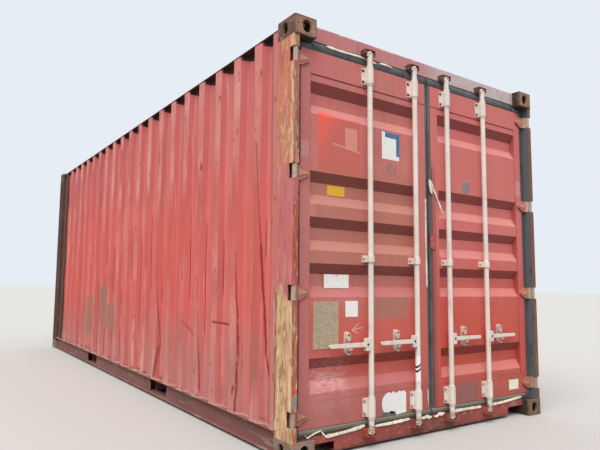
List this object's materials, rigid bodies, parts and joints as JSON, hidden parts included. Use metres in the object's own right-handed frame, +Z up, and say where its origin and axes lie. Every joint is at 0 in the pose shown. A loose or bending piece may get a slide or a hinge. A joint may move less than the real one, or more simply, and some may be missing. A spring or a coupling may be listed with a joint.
{
  "type": "shipping container",
  "caption": "Steel dry freight container with corrugated walls, corner castings, fork pockets and hinged cargo doors held by turning locking bars.",
  "frame": {"origin": "centre of the footprint, on the ground plane under the bottom corner castings", "axes": "+X points out of the door end, +Y points to the right side wall, which is on the far side in the picture, and +Z points up"},
  "size_m": [6.058, 2.438, 2.591],
  "materials": {
    "frame_paint": "matte, rusted",
    "casting_paint": "matte, rusted",
    "wall_paint": "matte, faded and rusted",
    "door_paint": "matte, faded",
    "roof_paint": "matte, faded and rusted",
    "gear_paint": "matte, rust specks",
    "gasket_rubber": "matte, dusty",
    "plywood": "worn plywood"
  },
  "bodies": {
    "body": {"bottom_corner_castings": "casting_paint", "top_corner_castings": "casting_paint", "left_door_post": "frame_paint", "right_door_post": "frame_paint", "left_front_post": "frame_paint", "right_front_post": "frame_paint", "door_header": "frame_paint", "door_sill": "frame_paint", "front_header": "frame_paint", "front_sill": "frame_paint", "left_top_rail": "wall_paint", "right_top_rail": "wall_paint", "left_bottom_rail": "frame_paint", "right_bottom_rail": "frame_paint", "left_side_wall": "wall_paint", "right_side_wall": "wall_paint", "front_wall": "wall_paint", "roof": "roof_paint", "plywood_floor": "plywood", "cross_members": "frame_paint", "fork_pockets": "frame_paint", "hinge_pins": "frame_paint", "header_keepers": "gear_paint", "sill_keepers": "gear_paint"},
    "left_door": {"left_door_frame": "door_paint", "left_door_panel": "door_paint", "left_door_gasket": "gasket_rubber", "left_hinge_blades": "door_paint", "left_bar_brackets": "gear_paint", "left_handle_retainers": "gear_paint"},
    "right_door": {"right_door_frame": "door_paint", "right_door_panel": "door_paint", "right_door_gasket": "gasket_rubber", "right_hinge_blades": "door_paint", "right_bar_brackets": "gear_paint", "right_handle_retainers": "gear_paint", "overlap_plate": "door_paint"},
    "left_outer_bar": {"left_outer_bar": "gear_paint"},
    "left_inner_bar": {"left_inner_bar": "gear_paint"},
    "right_inner_bar": {"right_inner_bar": "gear_paint"},
    "right_outer_bar": {"right_outer_bar": "gear_paint"},
    "left_outer_handle": {"left_outer_handle": "gear_paint"},
    "left_inner_handle": {"left_inner_handle": "gear_paint"},
    "right_inner_handle": {"right_inner_handle": "gear_paint"},
    "right_outer_handle": {"right_outer_handle": "gear_paint"}
  },
  "joints": [
    {"name": "left_door_hinge", "type": "hinge", "parent": "body", "child": "left_door", "pos_m": [3.005, -1.195, 1.296], "axis": [0, 0, -1], "range_deg": [0, 258]},
    {"name": "right_door_hinge", "type": "hinge", "parent": "body", "child": "right_door", "pos_m": [3.005, 1.195, 1.296], "axis": [0, 0, 1], "range_deg": [0, 258]},
    {"name": "left_outer_bar_turn", "type": "hinge", "parent": "left_door", "child": "left_outer_bar", "pos_m": [3.005, -0.594, 0.627], "axis": [0, 0, -1], "range_deg": [-100, 0]},
    {"name": "left_inner_bar_turn", "type": "hinge", "parent": "left_door", "child": "left_inner_bar", "pos_m": [3.005, -0.17, 0.627], "axis": [0, 0, -1], "range_deg": [-100, 0]},
    {"name": "right_inner_bar_turn", "type": "hinge", "parent": "right_door", "child": "right_inner_bar", "pos_m": [3.005, 0.17, 0.627], "axis": [0, 0, 1], "range_deg": [-100, 0]},
    {"name": "right_outer_bar_turn", "type": "hinge", "parent": "right_door", "child": "right_outer_bar", "pos_m": [3.005, 0.594, 0.627], "axis": [0, 0, 1], "range_deg": [-100, 0]},
    {"name": "left_outer_handle_lift", "type": "hinge", "parent": "left_outer_bar", "child": "left_outer_handle", "pos_m": [3.005, -0.63, 0.627], "axis": [1, 0, 0], "range_deg": [-12, 0]},
    {"name": "left_inner_handle_lift", "type": "hinge", "parent": "left_inner_bar", "child": "left_inner_handle", "pos_m": [3.005, -0.206, 0.627], "axis": [1, 0, 0], "range_deg": [-12, 0]},
    {"name": "right_inner_handle_lift", "type": "hinge", "parent": "right_inner_bar", "child": "right_inner_handle", "pos_m": [3.005, 0.206, 0.627], "axis": [-1, 0, 0], "range_deg": [-12, 0]},
    {"name": "right_outer_handle_lift", "type": "hinge", "parent": "right_outer_bar", "child": "right_outer_handle", "pos_m": [3.005, 0.63, 0.627], "axis": [-1, 0, 0], "range_deg": [-12, 0]}
  ]
}
